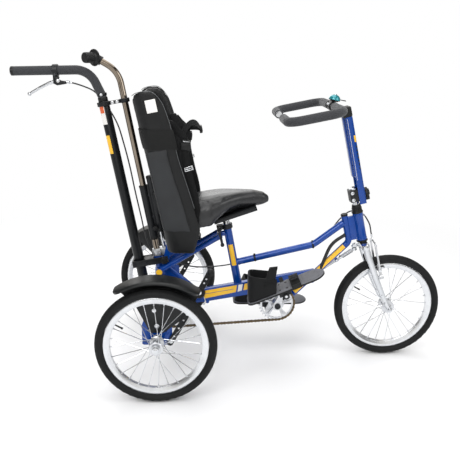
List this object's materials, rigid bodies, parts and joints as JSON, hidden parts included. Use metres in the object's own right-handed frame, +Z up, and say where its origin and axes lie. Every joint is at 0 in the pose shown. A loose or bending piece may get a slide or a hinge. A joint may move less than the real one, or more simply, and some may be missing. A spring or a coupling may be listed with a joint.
{
  "type": "adaptive tricycle",
  "caption": "Adaptive tricycle with spoked wheels, rear steering column and push bar, winged backrest with harness, saddle, fixed chain drive and strapped foot plates with heel cups.",
  "frame": {"origin": "on the ground, under the middle of the whole length and width", "axes": "+X points forward, +Y to the rider's left (far side in the picture), +Z up"},
  "size_m": [1.5374, 0.731, 1.1237],
  "materials": {
    "blue_paint": "gloss enamel with fine flake",
    "chrome": "bright plated",
    "cast_metal": "satin",
    "tyre": "matt moulded rubber",
    "cable_sheath": "smooth",
    "foam": "matt foam",
    "black_plastic": "fine grain",
    "black_steel": "semi-gloss powder coat",
    "vinyl": "padded grained vinyl",
    "webbing": "woven webbing",
    "tread": "ribbed",
    "chain_steel": "oiled",
    "teal_paint": "gloss"
  },
  "bodies": {
    "frame": {"main_frame": "blue_paint", "headset_top_cover": "black_plastic", "headset_lower_cup": "black_plastic", "near_fender": "black_plastic", "far_fender": "black_plastic", "chain_guard": "blue_paint", "chain": "chain_steel", "column_clamp": "cast_metal", "push_tube": "black_steel", "push_bracket": "black_steel", "push_handle": "foam", "brake_lever_body": "black_plastic", "brake_cable": "cable_sheath", "column_link": "black_steel", "backrest_inner_post": "chrome", "seat_clamp": "black_steel"},
    "steering": {"fork": "chrome", "post_clamp": "cast_metal", "front_brake_cable": "cable_sheath"},
    "rear_column": {"steering_handle": "chrome", "steering_grip": "foam", "rear_steering_arm": "black_steel"},
    "drag_link": {"drag_link": "cast_metal"},
    "front_wheel": {"front_wheel": "chrome", "front_tyre": "tyre"},
    "brake_arm_near": {"front_brake_arm_near": "cast_metal"},
    "brake_arm_far": {"front_brake_arm_far": "cast_metal"},
    "post_knob": {"post_knob": "black_plastic"},
    "handlebar": {"handlebar_post": "blue_paint", "handlebar_post_cap": "black_plastic", "handlebar_clamp": "black_plastic", "handlebar": "chrome", "near_bar_grip": "foam", "far_bar_grip": "foam", "bell": "teal_paint"},
    "bell_lever": {"bell_lever": "black_plastic"},
    "rear_axle": {"rear_axle": "cast_metal", "near_wheel": "chrome", "near_tyre": "tyre"},
    "far_wheel": {"far_wheel": "chrome", "far_tyre": "tyre"},
    "crank": {"crankset": "cast_metal", "far_crank": "cast_metal"},
    "near_pedal": {"near_footplate": "tread", "near_heel_cup": "vinyl", "near_toe_strap": "webbing"},
    "far_pedal": {"far_footplate": "tread", "far_heel_cup": "vinyl", "far_toe_strap": "webbing"},
    "seat": {"saddle": "vinyl", "seat_post": "black_steel"},
    "seat_clamp_lever": {"seat_clamp_lever": "black_steel"},
    "brake_lever": {"brake_lever": "cast_metal"},
    "parking_lever": {"parking_lever": "black_plastic"},
    "backrest": {"backrest_carriage": "black_steel", "backrest_shell": "vinyl", "backrest_pad": "vinyl", "backrest_strap": "webbing", "harness": "webbing"}
  },
  "joints": [
    {"name": "steering", "type": "hinge", "parent": "frame", "child": "steering", "pos_m": [0.44574, 0, 0.513], "axis": [-0.2317, 0, 0.9728], "range_deg": [-30, 30]},
    {"name": "rear_column", "type": "hinge", "parent": "frame", "child": "rear_column", "pos_m": [-0.30326, 0, 0.458], "axis": [-0.1805, 0, 0.9836], "range_deg": [-30, 30]},
    {"name": "drag_link_swing", "type": "hinge", "parent": "rear_column", "child": "drag_link", "pos_m": [-0.28581, 0.045, 0.21888], "axis": [-0.1805, 0, 0.9836], "range_deg": [-30, 30]},
    {"name": "front_wheel_spin", "type": "hinge", "parent": "steering", "child": "front_wheel", "pos_m": [0.56974, 0, 0.2], "axis": [0, 1, 0], "continuous": true},
    {"name": "rear_axle_spin", "type": "hinge", "parent": "frame", "child": "rear_axle", "pos_m": [-0.27926, 0, 0.2], "axis": [0, 1, 0], "continuous": true},
    {"name": "far_wheel_spin", "type": "hinge", "parent": "frame", "child": "far_wheel", "pos_m": [-0.27926, 0.326, 0.2], "axis": [0, 1, 0], "continuous": true},
    {"name": "crank_spin", "type": "hinge", "parent": "frame", "child": "crank", "pos_m": [0.14474, 0, 0.226], "axis": [0, 1, 0], "continuous": true},
    {"name": "near_pedal_spin", "type": "hinge", "parent": "crank", "child": "near_pedal", "pos_m": [0.16361, -0.073, 0.30168], "axis": [0, 1, 0], "continuous": true},
    {"name": "far_pedal_spin", "type": "hinge", "parent": "crank", "child": "far_pedal", "pos_m": [0.12587, 0.073, 0.15032], "axis": [0, 1, 0], "continuous": true},
    {"name": "seat_height", "type": "slide", "parent": "frame", "child": "seat", "axis": [-0.1891, 0, 0.982], "range_m": [-0.005, 0.08]},
    {"name": "seat_clamp_lever", "type": "hinge", "parent": "frame", "child": "seat_clamp_lever", "pos_m": [-0.0698, -0.03, 0.50731], "axis": [0, 1, 0], "range_deg": [0, 90]},
    {"name": "brake_lever", "type": "hinge", "parent": "frame", "child": "brake_lever", "pos_m": [-0.61326, 0, 1.02], "axis": [0, 1, 0], "range_deg": [0, 25], "stiffness_Nm_per_rad": 6, "springref_deg": -5.73},
    {"name": "brake_arm_near", "type": "hinge", "parent": "steering", "child": "brake_arm_near", "pos_m": [0.52859, -0.044, 0.3292], "axis": [0.9728, 0, 0.2317], "range_deg": [-3.5, 0]},
    {"name": "brake_arm_far", "type": "hinge", "parent": "steering", "child": "brake_arm_far", "pos_m": [0.52859, 0.044, 0.3292], "axis": [0.9728, 0, 0.2317], "range_deg": [0, 3.5]},
    {"name": "parking_lever", "type": "hinge", "parent": "frame", "child": "parking_lever", "pos_m": [-0.14226, -0.06, 0.277], "axis": [0, 1, 0], "range_deg": [0, 30]},
    {"name": "handlebar_height", "type": "slide", "parent": "steering", "child": "handlebar", "axis": [-0.2317, 0, 0.9728], "range_m": [-0.035, 0.005]},
    {"name": "post_knob", "type": "hinge", "parent": "steering", "child": "post_knob", "pos_m": [0.45777, 0, 0.63511], "axis": [0.9728, 0, 0.2317], "continuous": true},
    {"name": "bell_lever", "type": "hinge", "parent": "handlebar", "child": "bell_lever", "pos_m": [0.32236, -0.006, 0.96011], "axis": [0.2011, 0, 0.9796], "range_deg": [0, 20], "stiffness_Nm_per_rad": 0.2, "springref_deg": -5.73},
    {"name": "backrest_height", "type": "slide", "parent": "frame", "child": "backrest", "axis": [-0.1805, 0, 0.9836], "range_m": [0, 0.05]}
  ],
  "couplings": [
    {"joint": "rear_column", "follows": "steering", "ratio": 1},
    {"joint": "drag_link_swing", "follows": "steering", "ratio": -1},
    {"joint": "crank_spin", "follows": "rear_axle_spin", "ratio": 1.0625},
    {"joint": "near_pedal_spin", "follows": "rear_axle_spin", "ratio": -1.0625},
    {"joint": "far_pedal_spin", "follows": "rear_axle_spin", "ratio": -1.0625},
    {"joint": "brake_arm_near", "follows": "brake_lever", "ratio": -0.14},
    {"joint": "brake_arm_far", "follows": "brake_lever", "ratio": 0.14}
  ]
}
